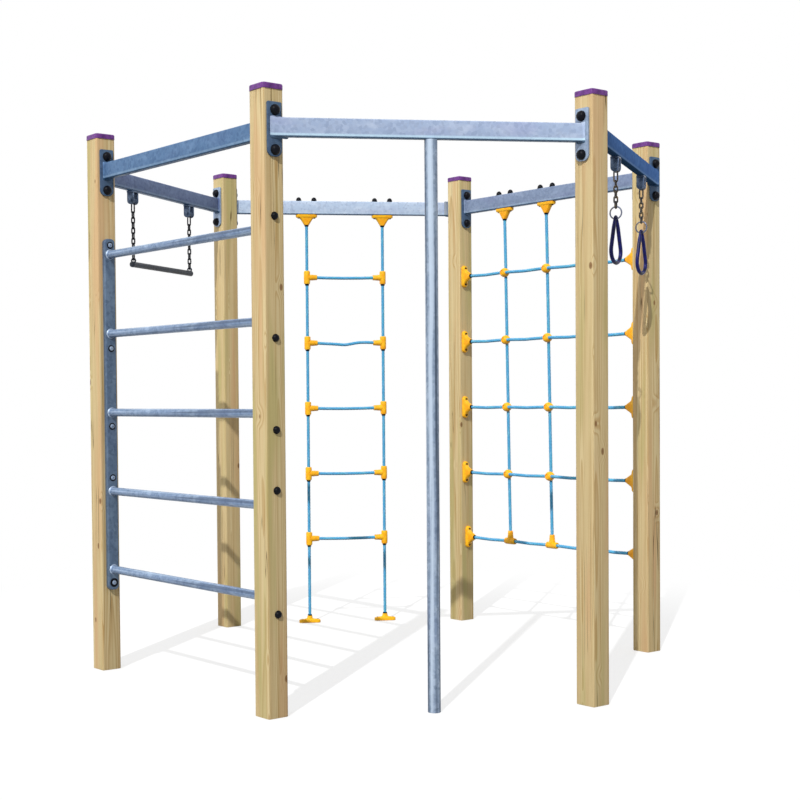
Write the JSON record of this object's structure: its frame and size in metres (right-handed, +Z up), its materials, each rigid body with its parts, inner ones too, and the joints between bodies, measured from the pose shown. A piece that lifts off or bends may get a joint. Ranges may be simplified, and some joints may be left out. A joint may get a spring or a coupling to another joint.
{
  "type": "hexagonal climbing frame",
  "caption": "Six-sided playground climbing frame: timber posts under steel beams, with a sliding pole, welded ladder, rope ladder, rope net, trapeze bar and hand loops.",
  "frame": {"origin": "middle of the hexagon of posts, on the ground", "axes": "+X to the right along the side with the sliding pole, +Y from that side towards the back, +Z up"},
  "size_m": [2.5832, 2.2632, 2.327],
  "materials": {
    "timber": "planed softwood, pale straw with vertical grain, small knots and drying checks",
    "cap_plastic": "violet moulded plastic, satin",
    "black_plastic": "black moulded plastic bolt caps, satin, over steel bolts",
    "galvanised_steel": "hot-dip galvanised steel, pale blue grey with a soft spangle",
    "rope": "sky blue laid combination rope",
    "clamp_plastic": "orange moulded plastic rope clamps, satin",
    "hanger_steel": "plain light steel",
    "chain_steel": "dull dark zinc-coated chain",
    "bar_steel": "dark grey powder coat",
    "loop_rubber": "dark blue rubber over a steel core"
  },
  "bodies": {
    "frame": {"post_front_left": "timber", "post_front_right": "timber", "post_right": "timber", "post_back_right": "timber", "post_back_left": "timber", "post_left": "timber", "cap_front_left": "cap_plastic", "cap_front_right": "cap_plastic", "cap_right": "cap_plastic", "cap_back_right": "cap_plastic", "cap_back_left": "cap_plastic", "cap_left": "cap_plastic", "bolt_front_left_lower": "black_plastic", "bolt_front_left_upper": "black_plastic", "bolt_front_right_lower": "black_plastic", "bolt_front_right_upper": "black_plastic", "bolt_right_lower": "black_plastic", "bolt_right_upper": "black_plastic", "bolt_back_right_lower": "black_plastic", "bolt_back_right_upper": "black_plastic", "bolt_back_left_lower": "black_plastic", "bolt_back_left_upper": "black_plastic", "bolt_left_lower": "black_plastic", "bolt_left_upper": "black_plastic", "beam_front": "galvanised_steel", "beam_right_front": "galvanised_steel", "beam_right_back": "galvanised_steel", "beam_back": "galvanised_steel", "beam_left_back": "galvanised_steel", "beam_left_front": "galvanised_steel", "sliding_pole": "galvanised_steel", "welded_ladder": "galvanised_steel", "rope_ladder_side_rope_left": "rope", "rope_ladder_side_rope_right": "rope", "rope_ladder_rung_1": "rope", "rope_ladder_rung_2": "rope", "rope_ladder_rung_3": "rope", "rope_ladder_rung_4": "rope", "rope_ladder_rung_5": "rope", "net_cross_rope_1": "rope", "net_cross_rope_2": "rope", "net_cross_rope_3": "rope", "net_cross_rope_4": "rope", "net_cross_rope_5": "rope", "net_hanging_rope_left": "rope", "net_hanging_rope_middle": "rope", "net_hanging_rope_right": "rope", "trapeze_hanger_back": "hanger_steel", "trapeze_hanger_front": "hanger_steel", "hand_loop_1_hanger": "hanger_steel", "hand_loop_2_hanger": "hanger_steel"},
    "trapeze_chains": {"trapeze_chain_back": "chain_steel", "trapeze_chain_front": "chain_steel"},
    "trapeze_bar": {"trapeze_bar": "bar_steel"},
    "hand_loop_1_swing": {"hand_loop_1_chain": "chain_steel", "hand_loop_1_steel_ring": "hanger_steel"},
    "hand_loop_1_grip": {"hand_loop_1_grip": "loop_rubber"},
    "hand_loop_2_swing": {"hand_loop_2_chain": "chain_steel", "hand_loop_2_steel_ring": "hanger_steel"},
    "hand_loop_2_grip": {"hand_loop_2_grip": "loop_rubber"}
  },
  "joints": [
    {"name": "trapeze_swing", "type": "hinge", "parent": "frame", "child": "trapeze_chains", "pos_m": [-0.95324, 0.54084, 2.082], "axis": [-0.5122, -0.8589, 0], "range_deg": [-75, 75]},
    {"name": "trapeze_bar_tilt", "type": "hinge", "parent": "trapeze_chains", "child": "trapeze_bar", "pos_m": [-0.95324, 0.54084, 1.8126], "axis": [-0.5122, -0.8589, 0], "range_deg": [-60, 60]},
    {"name": "hand_loop_1_swing", "type": "hinge", "parent": "frame", "child": "hand_loop_1_swing", "pos_m": [0.81239, -0.77704, 2.082], "axis": [0.5122, 0.8589, 0], "range_deg": [-75, 75]},
    {"name": "hand_loop_1_grip_tilt", "type": "hinge", "parent": "hand_loop_1_swing", "child": "hand_loop_1_grip", "pos_m": [0.81239, -0.77704, 1.879], "axis": [-0.7336, 0.6795, 0], "range_deg": [-60, 60]},
    {"name": "hand_loop_2_swing", "type": "hinge", "parent": "frame", "child": "hand_loop_2_swing", "pos_m": [1.09408, -0.30465, 2.082], "axis": [0.5122, 0.8589, 0], "range_deg": [-75, 75]},
    {"name": "hand_loop_2_grip_tilt", "type": "hinge", "parent": "hand_loop_2_swing", "child": "hand_loop_2_grip", "pos_m": [1.09408, -0.30465, 1.879], "axis": [-0.7336, 0.6795, 0], "range_deg": [-60, 60]}
  ]
}
